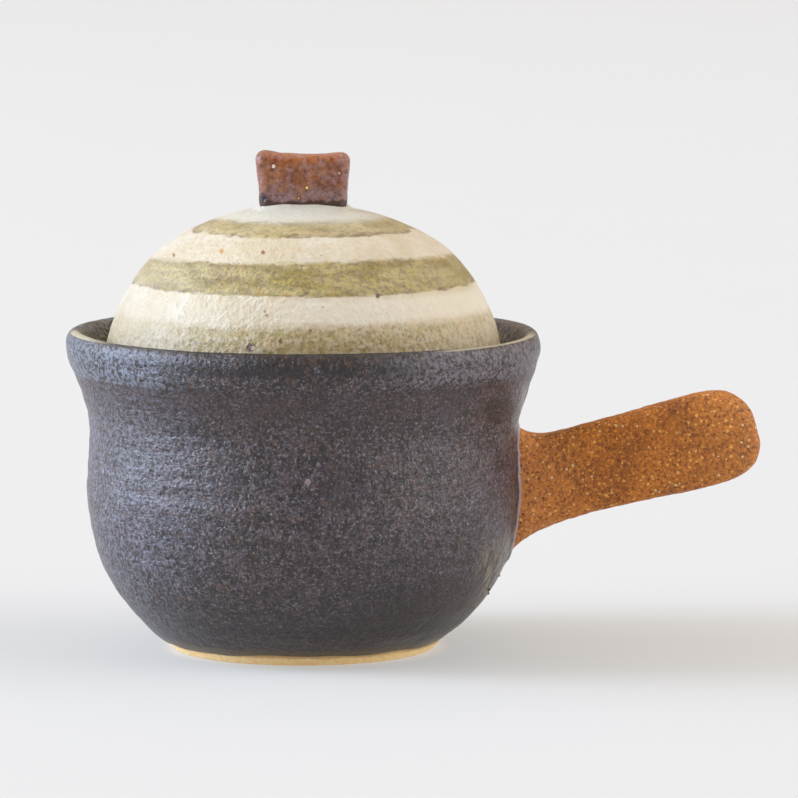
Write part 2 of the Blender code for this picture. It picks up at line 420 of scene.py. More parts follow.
def ball(centre, size):
    """Points and faces of a small ball."""
    columns, rings = 8, 5
    turn = np.arange(columns) * math.tau / columns
    points = [centre - (0, 0, size)]
    for step in range(1, rings):
        tilt = math.pi * step / rings
        flat = math.sin(tilt) * np.column_stack([np.cos(turn), np.sin(turn)])
        points.extend(centre + size * np.column_stack([flat, np.full(columns, -math.cos(tilt))]))
    points.append(centre + (0, 0, size))
    top = len(points) - 1
    faces = []
    for column in range(columns):
        after = (column + 1) % columns
        faces.append((0, 1 + after, 1 + column))
        faces.append((top, top - columns + column, top - columns + after))
        for low in range(1, top - columns, columns):
            faces.append((low + column, low + after, low + columns + after, low + columns + column))
    return np.array(points), faces


def mark(obj, name, shares):
    """Stores a share for each point of the surface, for the material to read."""
    attribute = obj.data.attributes.new(name, "FLOAT", "POINT")
    attribute.data.foreach_set("value", shares)


# Foot


def make_foot(material):
    """A low disc of bare clay with a softened edge, trimmed with a tool and slightly uneven."""
    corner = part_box("foot")[1]
    line = smooth_line(
        [
            (33.6, 0.0),
            (34.5, 0.2),
            (35.2, 0.9),
            (36.1, 1.9),
            (36.7, 2.7),
            (36.7, 3.4),
        ],
        6,
    )
    line *= np.array([corner.x / (36.9 * MM), 1.0])
    under = even_line(np.array([(0.0, 0.0), tuple(line[0])]), 3 * MM)
    top = even_line(np.array([tuple(line[-1]), (0.0, corner.z + 0.8 * MM)]), 4 * MM)
    line = np.vstack([under[:-1], even_line(line, 0.3 * MM), top[1:]])

    def relief(points, outward):
        radius = np.hypot(points[:, 0], points[:, 1])
        side = ease(radius, 33.0 * MM, 35.0 * MM) * ease(points[:, 2], 0.0, 0.8 * MM)
        move = 0.12 * MM * grain(points, 6 * MM, 3) + 0.05 * MM * grain(points, 1.4 * MM, 2)
        return points + outward * (move * side)[:, None]

    points, faces = turned(line, relief)
    mesh_object("bare_foot", points, faces, material, "pot", "foot")


# Handle


def handle_point(along, across, up, closing=1.0):
    """A point on the handle's skin in its own axes, from superellipse directions across and up."""
    top, bottom = handle_edges(along)
    edge = np.where(up > 0, top, bottom)
    past = np.maximum(0.0, (along - HANDLE_LENGTH + HANDLE_TIP_LENGTH) / HANDLE_TIP_LENGTH)
    depth = across * handle_half_depth(along) * closing**0.8
    return np.stack([along, depth, up * edge * closing - HANDLE_DROOP * past**2], axis=-1)


def on_the_pot(local):
    """Points in the handle's own axes, placed on the pot."""
    return local @ handle_axes() + np.array(HANDLE_ROOT)


def make_handle(material):
    """A hand-cut paddle of gritty clay, lofted along its own axis from just inside the pot's wall."""
    tip_start = HANDLE_LENGTH - HANDLE_TIP_LENGTH
    angle = np.arange(HANDLE_RING) * math.tau / HANDLE_RING
    power = 2 / HANDLE_SECTION_POWER
    across = np.copysign(np.abs(np.cos(angle)) ** power, np.cos(angle))
    up = np.copysign(np.abs(np.sin(angle)) ** power, np.sin(angle))

    # Where each line along the handle starts, found step by step, so that all start equally deep in the wall
    start = np.full(HANDLE_RING, -3.0 * MM)
    for _ in range(12):
        points = on_the_pot(handle_point(start, across, up))
        start += pot_radius(points[:, 2]) - HANDLE_BURIED - np.hypot(points[:, 0], points[:, 1])

    share = (np.arange(HANDLE_STATIONS)[:, None] / HANDLE_STATIONS) ** 1.25
    body = start + share * (tip_start - start)
    reach = np.sin(math.pi / 2 * np.arange(HANDLE_TIP_STATIONS) / HANDLE_TIP_STATIONS)[:, None]
    along = np.vstack([body, np.repeat(tip_start + HANDLE_TIP_LENGTH * reach, HANDLE_RING, axis=1)])
    rounding = (1 - reach**HANDLE_TIP_POWER) ** (1 / HANDLE_TIP_POWER)
    closing = np.vstack([np.ones((HANDLE_STATIONS, 1)), rounding])
    local = handle_point(along, across, up, closing).reshape(-1, 3)
    ends = np.array([[start.mean(), 0.0, 0.0], [HANDLE_LENGTH, 0.0, -HANDLE_DROOP]])
    local = np.vstack([local, ends])

    centre = np.column_stack([np.minimum(local[:, 0], tip_start), np.zeros((len(local), 2))])
    outward = local - centre
    outward[:, 1] *= 2.2
    outward /= np.linalg.norm(outward, axis=1)[:, None] + 1e-9
    move = 0.26 * MM * grain(local + 0.7, 13 * MM, 2)
    move += 0.13 * MM * grain(local, 3.2 * MM, 3)
    move += 0.06 * MM * grain(local + 0.2, 1.1 * MM, 2)
    points = on_the_pot(local + outward * move[:, None])

    start_cap, tip_cap = len(points) - 2, len(points) - 1
    last_ring = start_cap - HANDLE_RING
    faces = []
    for index in range(HANDLE_RING):
        after = (index + 1) % HANDLE_RING
        faces.append((start_cap, after, index))
        faces.append((tip_cap, last_ring + index, last_ring + after))
        for here in range(0, last_ring, HANDLE_RING):
            ahead = here + HANDLE_RING
            faces.append((here + index, here + after, ahead + after, ahead + index))
    handle = mesh_object("clay_handle", points, faces, material, "pot", "handle")
    away = np.hypot(points[:, 0], points[:, 1]) - pot_radius(points[:, 2])
    away -= 0.2 * MM * grain(points, 4 * MM)
    mark(handle, BANK_AND_HIGHLIGHT, 1 - ease(away, 0.25 * MM, 0.85 * MM))


# Lid


def lid_line():
    """The lid's section, from the middle of its hollow down the inside, round its edge and up the dome."""
    inside = smooth_line(
        [
            (0.0, 112.6),
            (18.0, 110.6),
            (33.0, 103.8),
            (42.5, 92.5),
            (46.6, 82.0),
            (47.9, 76.2),
        ],
        12,
    )
    edge = smooth_line([(47.9, 76.2), (48.5, 75.1), (50.1, 74.8), (51.8, 75.1), (52.4, 76.4)], 8)
    outside = smooth_line(
        [
            (52.4, 76.4),
            (51.9, 82.0),
            (49.4, 90.2),
            (44.0, 99.7),
            (35.0, 108.4),
            (21.0, 114.8),
            (9.0, 117.2),
            (0.0, 117.7),
        ],
        20,
    )
    return np.vstack(
        [
            even_line(inside, 1.6 * MM),
            even_line(edge, 0.5 * MM)[1:],
            even_line(outside, 0.5 * MM)[1:],
        ]
    )


def outside_knob(points):
    """How far each point lies outside the knob's rounded base, seen from above; negative inside."""
    rounding = 3.2 * MM
    reach = np.abs(points[:, :2]) - (np.array(KNOB_BASE_SIZE) / 2 - rounding)
    beyond = np.hypot(*np.maximum(reach, 0.0).T)
    return beyond + np.minimum(reach.max(axis=1), 0.0) - rounding


def lid_relief(points, outward):
    """Brushed unevenness, the glaze that pools round the knob, and a flatter left shoulder."""
    height = points[:, 2]
    angle = np.arctan2(points[:, 1], points[:, 0])
    outside = outward[:, 2] > 0.05
    move = 0.20 * MM * grain(points, 20 * MM, 2)
    move += 0.06 * MM * grain(points + 0.4, 4.5 * MM, 2)
    move += 0.025 * MM * grain(points, 1.5 * MM, 2)
    streaks = points * np.array([1.0, 1.0, 9.0])
    move += outside * 0.035 * MM * grain(streaks, 12 * MM, 2)
    move -= outside * 0.4 * MM * bell(np.abs(angle) - math.pi, 0.6) * bell(height - 95 * MM, 12 * MM)
    pool = bell(np.maximum(0.0, outside_knob(points)), 1.15 * MM)
    move += outside * 0.8 * MM * pool * (1 + 0.12 * np.sin(angle * 5 + 1))
    return points + outward * move[:, None]


def make_lid(material):
    """The domed lid, open underneath."""
    points, faces = turned(lid_line(), lid_relief)
    mesh_object("domed_lid", points, faces, material, "lid", "lid_dome")


def make_knob(material):
    """A hand-pressed slab with rounded edges and a top that dips in the middle."""
    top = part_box("lid_knob")[1].z
    points, faces, seen = [], [], {}
    steps = np.sin(np.linspace(-math.pi / 2, math.pi / 2, KNOB_CELLS + 1))
    steps = 0.5 * steps + 0.5 * np.linspace(-1, 1, KNOB_CELLS + 1)

    def corner(axis, side, row, column):
        place = [0.0, 0.0, 0.0]
        place[axis] = float(side)
        place[(axis + 1) % 3] = steps[row]
        place[(axis + 2) % 3] = steps[column]
        key = tuple(round(value, 7) for value in place)
        if key not in seen:
            seen[key] = len(points)
            points.append(place)
        return seen[key]

    for axis in range(3):
        for side in (-1, 1):
            for row in range(KNOB_CELLS):
                for column in range(KNOB_CELLS):
                    ring = [(row, column), (row + 1, column), (row + 1, column + 1), (row, column + 1)]
                    if side < 0:
                        ring.reverse()
                    faces.append([corner(axis, side, *place) for place in ring])

    cube = np.array(points)
    share = cube[:, 2] / 2 + 0.5
    base_size, top_size = np.array(KNOB_BASE_SIZE), np.array(KNOB_TOP_SIZE)
    size = base_size + share[:, None] * (top_size - base_size)
    half = np.column_stack([size / 2, np.full(len(cube), (top - KNOB_START) / 2)])
    core = half - KNOB_ROUNDING
    box = cube * half
    inner = np.clip(box, -core, core)
    outward = box - inner
    outward /= np.linalg.norm(outward, axis=1)[:, None] + 1e-9
    place = inner + outward * KNOB_ROUNDING

    across, upper = place[:, 0], ease(place[:, 2], 0.0, half[0, 2])
    place[:, 2] += upper * MM * (-0.75 * bell(across - 0.8 * MM, 7.5 * MM) + 0.35)
    place[:, 2] += upper * 0.30 * MM * ease(-across, 4 * MM, 11 * MM)
    waist = bell(place[:, 2] + 1.0 * MM, 4.5 * MM)
    place[:, 0] -= 0.30 * MM * waist * np.sign(across) * ease(np.abs(across), 5 * MM, 10 * MM)
    points = place + np.array([0.0, 0.0, (top + KNOB_START) / 2])
    move = 0.26 * MM * grain(points + 0.9, 7 * MM, 2) + 0.09 * MM * grain(points, 2.2 * MM, 2)
    move += 0.04 * MM * grain(points, 0.9 * MM, 2)
    points += outward * move[:, None]
    mesh_object("slab_knob", points, faces, material, "lid", "lid_knob")


# Materials


def linear(*levels):
    """A display colour of three 0 to 255 levels as linear light, with full alpha."""
    shares = [level / 255 for level in levels]
    light = [s / 12.92 if s <= 0.04045 else ((s + 0.055) / 1.055) ** 2.4 for s in shares]
    return (*light, 1.0)


class Nodes:
    """Short calls for the nodes of one material or world."""

    def __init__(self, tree):
        self.tree = tree

    def add(self, kind, inputs=None, **settings):
        node = self.tree.nodes.new("ShaderNode" + kind)
        for key, value in settings.items():
            setattr(node, key, value)
        for key, value in (inputs or {}).items():
            self.feed(node.inputs[key], value)
        return node

    def feed(self, socket, value):
        if isinstance(value, bpy.types.NodeSocket):
            self.tree.links.new(value, socket)
        else:
            socket.default_value = value

    def math(self, operation, *values):
        return self.add("Math", dict(enumerate(values)), operation=operation).outputs[0]

    def product(self, first, *others):
        """These values multiplied together."""
        for other in others:
            first = self.math("MULTIPLY", first, other)
        return first

    def between(self, value, low, high):
        """0 up to low, 1 from high on; low may be above high."""
        inputs = {"Value": value, "From Min": low, "From Max": high}
        return self.add("MapRange", inputs, interpolation_type="SMOOTHSTEP").outputs["Result"]

    def scaled(self, value, low, high):
        """A 0 to 1 value spread over low to high."""
        return self.add("MapRange", {"Value": value, "To Min": low, "To Max": high}).outputs["Result"]

    def mix(self, factor, under, over, share=1.0):
        """The under colour with the over colour on it, where the factor is 1, at this share."""
        if share != 1.0:
            factor = self.product(factor, share)
        node = self.add("Mix", {"Factor": factor}, data_type="RGBA")
        self.feed(node.inputs[6], under)
        self.feed(node.inputs[7], over)
        return node.outputs[2]


class Surface(Nodes):
    """One material. Its patterns use the piece's own coordinates in metres."""

    def __init__(self, name, roughness, ior=1.5):
        self.material = bpy.data.materials.new(name)
        self.material.use_nodes = True
        super().__init__(self.material.node_tree)
        self.shader = self.tree.nodes["Principled BSDF"]
        self.shader.inputs["Roughness"].default_value = roughness
        self.shader.inputs["IOR"].default_value = ior
        self.place = self.add("TexCoord").outputs["Object"]
        parts = self.add("SeparateXYZ", {"Vector": self.place}).outputs
        self.x, self.y, self.z = parts["X"], parts["Y"], parts["Z"]

    def stretched(self, x, y, z):
        """The piece's coordinates multiplied by these, for streaks."""
        return self.add("VectorMath", {0: self.place, 1: (x, y, z)}, operation="MULTIPLY").outputs[0]

    def stored(self, name):
        """A share that the piece's points carry."""
        return self.add("Attribute", attribute_name=name).outputs["Fac"]

    def noise(self, size, detail=3.0, place=None, roughness=0.55):
        """Noise around 0.5 with features of about this size."""
        inputs = {"Vector": place or self.place, "Scale": 1 / size, "Detail": detail, "Roughness": roughness}
        return self.add("TexNoise", inputs).outputs["Fac"]

    def specks(self, spacing, share, size, offset=0.0):
        """Scattered round spots: one in a share of the cells this far apart, with a radius up to size."""
        shifted = {0: self.place, 1: (offset, offset, offset)}
        place = self.add("VectorMath", shifted, operation="ADD").outputs[0]
        rough = {"Vector": place, "Scale": 1 / (0.6 * size), "Detail": 2.0}
        wobble = self.add("TexNoise", rough).outputs["Color"]
        wobble = self.add("VectorMath", {0: wobble, 1: (size * 0.9,) * 3}, operation="MULTIPLY").outputs[0]
        place = self.add("VectorMath", {0: place, 1: wobble}, operation="ADD").outputs[0]
        cell = self.add("TexVoronoi", {"Vector": place, "Scale": 1 / spacing, "Randomness": 1.0})
        chance = self.add("SeparateColor", {"Color": cell.outputs["Color"]}).outputs
        radius = self.scaled(chance["Green"], 0.35 * size / spacing, size / spacing)
        inside = self.math("SUBTRACT", radius, cell.outputs["Distance"])
        inside = self.between(inside, 0.0, 0.25 * size / spacing)
        return self.product(inside, self.math("LESS_THAN", chance["Red"], share))

    def spot(self, x, z, size):
        """1 within this distance of a place on the front face, seen along Y, with a soft uneven edge."""
        wobble = self.scaled(self.noise(0.9 * MM, 1.0), -0.5 * size, 0.5 * size)
        across = self.math("POWER", self.math("ABSOLUTE", self.math("SUBTRACT", self.x, x)), 2.0)
        up = self.math("POWER", self.math("ABSOLUTE", self.math("SUBTRACT", self.z, z)), 2.0)
        away = self.math("ADD", self.math("SQRT", self.math("ADD", across, up)), wobble)
        return self.product(self.between(away, size, 0.7 * size), self.math("LESS_THAN", self.y, 0.0))

    def finish(self, colour, height, depth, roughness=None):
        """Wires the colour, a bump of this depth in metres, and the roughness."""
        self.feed(self.shader.inputs["Base Color"], colour)
        bump = self.add("Bump", {"Height": height, "Distance": depth, "Strength": 1.0})
        self.feed(self.shader.inputs["Normal"], bump.outputs["Normal"])
        if roughness is not None:
            self.feed(self.shader.inputs["Roughness"], roughness)
        return self.material


# Dark glaze


def dark_glaze():
    """Satin, slightly metallic charcoal glaze on the pot."""
    s = Surface("dark_glaze", 0.4, ior=1.63)
    s.shader.inputs["Specular Tint"].default_value = (0.97, 0.95, 1.0, 1.0)
    middle = s.noise(4.5 * MM, 4.0, roughness=0.65)
    fine = s.noise(1.15 * MM, 4.0, roughness=0.62)
    radius = s.math("SQRT", s.math("ADD", s.product(s.x, s.x), s.product(s.y, s.y)))
    # The front of the lip's crest, painted dark as a shadow line and made rough
    painted_shadow_crest = s.product(
        s.between(radius, 59.8 * MM, 60.4 * MM),
        s.between(s.z, 83.8 * MM, 84.3 * MM),
        s.between(s.y, -22 * MM, -40 * MM),
    )
    colour = glaze_mottle(s, middle, fine)
    colour = glaze_zones(s, colour, fine)
    colour = glaze_at_lip(s, colour, fine, radius, painted_shadow_crest)
    colour = glaze_marks(s, colour)

    pits = s.specks(8 * MM, 0.15, 0.40 * MM)
    colour = s.mix(pits, colour, linear(170, 154, 150), 0.6)
    streaks = s.noise(14 * MM, 4.0, s.stretched(1.0, 1.0, 9.0), 0.6)
    height = s.math("MULTIPLY_ADD", middle, 1.5, fine)
    height = s.math("MULTIPLY_ADD", streaks, 0.8, height)
    height = s.math("SUBTRACT", height, s.product(pits, 0.8))
    roughness = s.math("ADD", s.scaled(middle, 0.24, 0.38), s.scaled(fine, -0.06, 0.12))
    roughness = s.math("MAXIMUM", roughness, s.product(painted_shadow_crest, 0.75))
    return s.finish(colour, height, 0.52 * MM, roughness)


def glaze_mottle(s, middle, fine):
    """Pale, lilac, rust and dark flecks in charcoal, browner low on the pot and on its lip, less brown on the
    lip's right side as a painted highlight.
    """
    large = s.between(s.noise(30 * MM, 2.0), 0.38, 0.64)
    low = s.between(s.z, 34 * MM, 5 * MM)
    # Painted highlight: less brown on the right of the lip, so that it reads lighter there
    painted_light_on_the_right = s.scaled(s.between(s.x, 8 * MM, 36 * MM), 0.9, 0.4)
    lip = s.product(s.between(s.z, 73.5 * MM, 78 * MM), painted_light_on_the_right)
    patches = s.between(s.noise(14 * MM, 3.0), 0.48, 0.68)
    brown = s.math("MULTIPLY_ADD", patches, 0.5, s.math("MAXIMUM", low, lip))
    brown = s.math("MINIMUM", brown, 1.0)
    dark = s.mix(brown, s.mix(large, linear(30, 20, 14), linear(29, 21, 21)), linear(17, 9, 4))
    pale = s.mix(brown, s.mix(large, linear(78, 64, 58), linear(80, 70, 78)), linear(52, 36, 23))

    # Fewer pale flecks in patches of the lip's front, and towards the foot
    front_lip = s.product(s.between(s.y, -50 * MM, -57 * MM), s.between(s.z, 77.5 * MM, 79.5 * MM))
    flecked = s.scaled(s.product(front_lip, s.between(s.noise(9 * MM), 0.30, 0.45)), 1.0, 0.15)
    flecked = s.product(flecked, s.scaled(s.between(s.z, 26 * MM, 9 * MM), 1.0, 0.5))
    cover = s.between(s.math("ADD", fine, s.scaled(middle, -0.10, 0.10)), 0.42, 0.60)
    colour = s.mix(s.product(cover, flecked), dark, pale)
    lilac = s.between(s.noise(1.7 * MM, 3.0, s.stretched(1.0, 1.1, 1.0)), 0.52, 0.64)
    colour = s.mix(s.product(lilac, flecked), colour, linear(98, 88, 98), 0.5)
    colour = s.mix(s.between(middle, 0.50, 0.38), colour, linear(16, 11, 10), 0.6)
    rust = s.between(s.noise(1.5 * MM, 3.0, s.stretched(1.1, 1.0, 1.0)), 0.54, 0.66)
    colour = s.mix(rust, colour, linear(96, 66, 46), 0.55)
    flecks = s.noise(0.7 * MM, 3.0, roughness=0.7)
    colour = s.mix(s.product(s.between(flecks, 0.54, 0.66), flecked), colour, linear(156, 148, 156), 0.6)
    return s.mix(s.between(flecks, 0.48, 0.36), colour, linear(14, 9, 8), 0.6)


def glaze_zones(s, colour, fine):
    """Painted highlights bluer on the left and round the lip, red-brown under the lip, and painted shade in
    dark brown low on the right.
    """
    # Painted highlight: pale blue flecks on the left, where the side light shines
    left = s.product(s.between(s.x, -20 * MM, -48 * MM), s.between(fine, 0.45, 0.60))
    colour = s.mix(left, colour, linear(122, 128, 144), 0.5)
    # Painted highlight: pale blue flecks on the lip's left
    painted_highlight_lip_left = s.product(
        s.between(s.z, 73.8 * MM, 74.6 * MM),
        s.between(s.x, -24 * MM, -46 * MM),
        s.between(fine, 0.42, 0.56),
    )
    colour = s.mix(painted_highlight_lip_left, colour, linear(126, 134, 150), 0.5)
    # Painted highlight: pale flecks on the lip's right
    painted_highlight_lip_right = s.product(
        s.between(s.z, 74.5 * MM, 76 * MM),
        s.between(s.x, 12 * MM, 38 * MM),
        s.between(fine, 0.44, 0.57),
    )
    colour = s.mix(painted_highlight_lip_right, colour, linear(130, 126, 134), 0.5)
    under_lip = s.product(s.between(s.z, 74.6 * MM, 73.6 * MM), s.between(s.z, 62 * MM, 71 * MM))
    colour = s.mix(under_lip, colour, linear(56, 36, 32), 0.4)
    # Painted shade: dark brown low on the right, away from the side light
    painted_shade_low_right = s.product(s.between(s.z, 42 * MM, 12 * MM), s.between(s.x, -6 * MM, 30 * MM))
    colour = s.mix(painted_shade_low_right, colour, linear(30, 19, 9), 0.6)

    # Two dark patches, beside the handle and in the middle, and pale trails low on the handle's side
    colour = s.mix(s.spot(51.5 * MM, 66 * MM, 4.6 * MM), colour, linear(34, 20, 13), 0.8)
    colour = s.mix(s.spot(12 * MM, 50 * MM, 8 * MM), colour, linear(30, 21, 19), 0.4)
    trails = s.product(
        s.between(s.x, 43 * MM, 50 * MM),
        s.between(s.z, 8 * MM, 14 * MM),
        s.between(s.z, 36 * MM, 27 * MM),
        s.between(s.noise(3 * MM, 4.0, s.stretched(1.6, 1.6, 0.35), 0.65), 0.46, 0.60),
    )
    return s.mix(trails, colour, linear(150, 134, 104), 0.6)


def glaze_at_lip(s, colour, fine, radius, painted_shadow_crest):
    """The lip: tan where the glaze breaks, painted shade and pale speckles inside, a painted highlight line
    at its sides, a painted shadow line in front.
    """
    broken = s.product(
        s.between(radius, 60.2 * MM, 59.2 * MM),
        s.between(radius, 57.8 * MM, 58.8 * MM),
        s.between(s.z, 82.8 * MM, 83.6 * MM),
        s.between(s.noise(3 * MM), 0.35, 0.55),
        s.scaled(s.between(s.y, -20 * MM, 10 * MM), 1.0, 0.3),
    )
    colour = s.mix(broken, colour, linear(136, 116, 90), 0.75)
    # Painted shade on the inside of the rim near the lid, with pale speckles of glaze over it
    inner = s.product(s.between(radius, 58.6 * MM, 57.6 * MM), s.between(s.z, 72 * MM, 75 * MM))
    colour = s.mix(inner, colour, linear(14, 10, 8), 0.85)
    colour = s.mix(s.product(inner, s.between(fine, 0.49, 0.58)), colour, linear(150, 140, 116), 0.75)
    # Painted highlight: a pale line along the top of the lip at its sides
    level = s.math("MULTIPLY_ADD", s.y, -RIM_LEAN[1], s.z)
    level = s.math("MULTIPLY_ADD", s.x, -RIM_LEAN[0], level)
    painted_highlight_line = s.product(
        s.between(level, 84.0 * MM, 84.25 * MM),
        s.between(s.y, -52 * MM, -46 * MM),
        s.between(s.y, 0.0, -12 * MM),
        s.between(radius, 59.4 * MM, 59.9 * MM),
    )
    colour = s.mix(painted_highlight_line, colour, linear(210, 200, 170), 0.75)
    # Painted shadow: a dark line on the crest in front, where the lid meets the rim
    return s.mix(painted_shadow_crest, colour, linear(24, 14, 12), 0.9)


def glaze_marks(s, colour):
    """Dark balls, an olive lower edge, pale runs above the handle that are partly a painted highlight, the
    pimple, and the pale bank round the root, partly a painted highlight.
    """
    colour = s.mix(s.between(s.stored(DARK), 0.3, 0.65), colour, linear(12, 6, 6), 0.95)
    waver = s.scaled(s.noise(9 * MM, 2.0), -0.9 * MM, 0.9 * MM)
    edge = s.between(s.math("ADD", s.z, waver), 5.2 * MM, 3.6 * MM)
    colour = s.mix(edge, colour, linear(98, 84, 46), 0.55)
    # Pale runs of thick glaze above the handle, painted partly as a highlight
    runs = s.product(
        s.between(s.x, 54.5 * MM, 57.5 * MM),
        s.between(s.z, 55 * MM, 59 * MM),
        s.between(s.z, 75 * MM, 69 * MM),
        s.between(s.noise(5 * MM, 4.0, s.stretched(1.6, 1.6, 0.4), 0.65), 0.44, 0.58),
    )
    colour = s.mix(runs, colour, linear(158, 148, 146), 0.6)
    colour = s.mix(s.spot(2.0 * MM, 51.2 * MM, 0.95 * MM), colour, linear(158, 138, 142), 0.8)
    # Pale bank of glaze round the handle's root, painted partly as its highlight
    return s.mix(s.between(s.stored(BANK_AND_HIGHLIGHT), 0.4, 0.9), colour, linear(176, 166, 176), 0.8)


# Clays


def bare_clay():
    """Sandy unglazed clay, toasted darker just under the glaze."""
    s = Surface("bare_clay", 0.85)
    sand = s.noise(1.2 * MM, 4.0)
    colour = s.mix(s.between(sand, 0.35, 0.7), linear(246, 206, 140), linear(252, 228, 176))
    waver = s.scaled(s.noise(5 * MM, 3.0), -0.5 * MM, 0.5 * MM)
    toasted = s.between(s.math("ADD", s.z, waver), 1.7 * MM, 2.5 * MM)
    colour = s.mix(toasted, colour, linear(176, 132, 84), 0.7)
    colour = s.mix(s.specks(2.4 * MM, 0.25, 0.35 * MM), colour, linear(120, 84, 52))
    return s.finish(colour, sand, 0.15 * MM)


def handle_clay():
    """Rust-brown clay full of grit: pale feldspar, yellow and dark iron grains in an open, sandy skin."""
    s = Surface("handle_clay", 0.72)
    large = s.noise(11 * MM, 3.0)
    colour = s.mix(s.between(large, 0.38, 0.64), linear(168, 95, 27), linear(200, 119, 38))
    colour = s.mix(s.between(s.x, 92 * MM, 118 * MM), colour, linear(204, 134, 70), 0.45)
    # Painted light: lighter towards the root, lifting the shade that the pot casts there
    colour = s.mix(s.between(s.x, 80 * MM, 58 * MM), colour, linear(208, 134, 76), 0.55)
    sand = s.noise(0.9 * MM, 4.0, roughness=0.7)
    colour = s.mix(s.between(sand, 0.49, 0.39), colour, linear(110, 57, 21), 0.7)
    colour = s.mix(s.between(sand, 0.53, 0.63), colour, linear(232, 150, 62), 0.75)
    dark = s.specks(1.5 * MM, 0.5, 0.42 * MM, 0.31)
    colour = s.mix(dark, colour, linear(84, 42, 22), 0.8)
    yellow = s.specks(1.25 * MM, 0.75, 0.44 * MM, 0.77)
    colour = s.mix(yellow, colour, linear(236, 156, 56), 0.8)
    gold = s.specks(1.6 * MM, 0.55, 0.60 * MM, 0.13)
    colour = s.mix(gold, colour, linear(248, 184, 96), 0.85)
    pale = s.specks(2.1 * MM, 0.5, 0.5 * MM)
    colour = s.mix(pale, colour, linear(250, 216, 160), 0.95)
    # Pale lilac glaze banked on the handle's root, painted partly as its highlight
    colour = s.mix(s.between(s.stored(BANK_AND_HIGHLIGHT), 0.3, 0.7), colour, linear(172, 160, 172), 0.85)
    height = s.math("SUBTRACT", s.math("MULTIPLY_ADD", pale, 0.5, sand), s.product(dark, 0.8))
    return s.finish(colour, height, 0.36 * MM, s.scaled(sand, 0.50, 0.75))


# Cream glaze


def cream_glaze():
    """Creamy white glaze over clay, with two brushed olive bands and a speckled olive wash near the edge."""
    s = Surface("cream_glaze", 0.40)
    large = s.noise(16 * MM, 4.0)
    middle = s.noise(3.2 * MM, 4.0, roughness=0.65)
    soft = s.noise(1.9 * MM, 3.0, s.stretched(1.0, 1.1, 1.0))
    fine = s.noise(1.0 * MM, 4.0, roughness=0.7)
    brush = s.noise(13 * MM, 5.0, s.stretched(1.0, 1.0, 4.0), 0.68)
    waver = s.noise(8 * MM, 4.0, s.stretched(1.0, 1.0, 3.0), 0.6)
    waver = s.math("ADD", s.scaled(waver, -1.3 * MM, 1.3 * MM), s.scaled(fine, -0.45 * MM, 0.45 * MM))
    height = s.math("ADD", s.z, waver)
    colour = s.mix(s.between(large, 0.38, 0.66), linear(214, 200, 171), linear(228, 218, 200))
    colour = s.mix(s.between(middle, 0.50, 0.66), colour, linear(226, 204, 172), 0.5)
    colour = s.mix(s.between(soft, 0.52, 0.38), colour, linear(206, 186, 150), 0.35)

    olive = band_pigment(s, brush, middle, soft, fine)
    colour = brushed_band(s, colour, olive, brush, height, UPPER_BAND, 0.84)
    colour = brushed_band(s, colour, olive, brush, height, LOWER_BAND, 1.0)

    speckled = s.between(s.math("ADD", fine, soft), 1.16, 0.84)
    wash = s.product(
        s.between(height, WASH_TOP + 1.0 * MM, WASH_TOP - 1.6 * MM),
        s.scaled(speckled, 0.50, 0.95),
        s.scaled(s.between(s.x, -46 * MM, -20 * MM), 0.72, 1.0),
        s.scaled(s.between(s.x, 28 * MM, 46 * MM), 1.0, 0.72),
    )
    wash_colour = s.mix(s.between(s.z, 90 * MM, 79 * MM), linear(178, 160, 108), linear(152, 131, 64))
    wash_colour = s.mix(s.between(middle, 0.50, 0.64), wash_colour, linear(190, 160, 98), 0.6)
    wash_colour = s.mix(s.between(fine, 0.49, 0.37), wash_colour, linear(118, 96, 56), 0.6)
    above_edge = s.between(s.z, 74.9 * MM, 76.4 * MM)
    colour = s.mix(s.product(wash, above_edge), colour, wash_colour)

    # Painted light: greyer on the left, where the side light washes out the cream; a painted highlight,
    # whiter above the wash on the right; grey-white on the crown
    colour = s.mix(s.between(s.x, -18 * MM, -46 * MM), colour, linear(182, 170, 158), 0.32)
    white = s.product(
        s.between(s.z, 97.5 * MM, 95.5 * MM),
        s.between(s.x, -16 * MM, 4 * MM),
        s.between(s.z, 90 * MM, 92 * MM),
    )
    colour = s.mix(white, colour, linear(244, 236, 220), 0.5)
    colour = s.mix(s.between(s.z, 113.6 * MM, 115.6 * MM), colour, linear(216, 215, 204), 0.75)

    colour = s.mix(s.specks(5.0 * MM, 0.22, 0.42 * MM), colour, linear(140, 88, 46), 0.75)
    colour = s.mix(s.specks(7.0 * MM, 0.25, 0.8 * MM, 0.4), colour, linear(190, 124, 62), 0.55)
    violet = s.specks(9.0 * MM, 0.25, 0.9 * MM, 0.9)
    colour = s.mix(s.product(violet, wash), colour, linear(88, 66, 66), 0.85)
    for spot_x, spot_z, size, tint in LID_SPOTS:
        colour = s.mix(s.spot(spot_x * MM, spot_z * MM, size * MM), colour, linear(*tint), 0.85)
    bump = s.math("MULTIPLY_ADD", brush, 0.5, s.math("MULTIPLY_ADD", soft, 1.4, fine))
    return s.finish(colour, bump, 0.36 * MM, s.scaled(fine, 0.28, 0.50))


def band_pigment(s, brush, middle, soft, fine):
    """The brushed olive: streaked, yellow and orange in places, darker specks, deeper on the right."""
    olive = s.mix(s.between(brush, 0.42, 0.60), linear(156, 137, 66), linear(188, 169, 92))
    olive = s.mix(s.between(middle, 0.50, 0.64), olive, linear(188, 168, 70), 0.7)
    olive = s.mix(s.between(s.noise(8 * MM, 3.0), 0.56, 0.68), olive, linear(186, 138, 62), 0.45)
    olive = s.mix(s.between(soft, 0.50, 0.40), olive, linear(124, 108, 66), 0.6)
    olive = s.mix(s.between(fine, 0.50, 0.40), olive, linear(98, 76, 46), 0.65)
    return s.mix(s.between(s.x, 16 * MM, 42 * MM), olive, linear(132, 112, 44), 0.35)


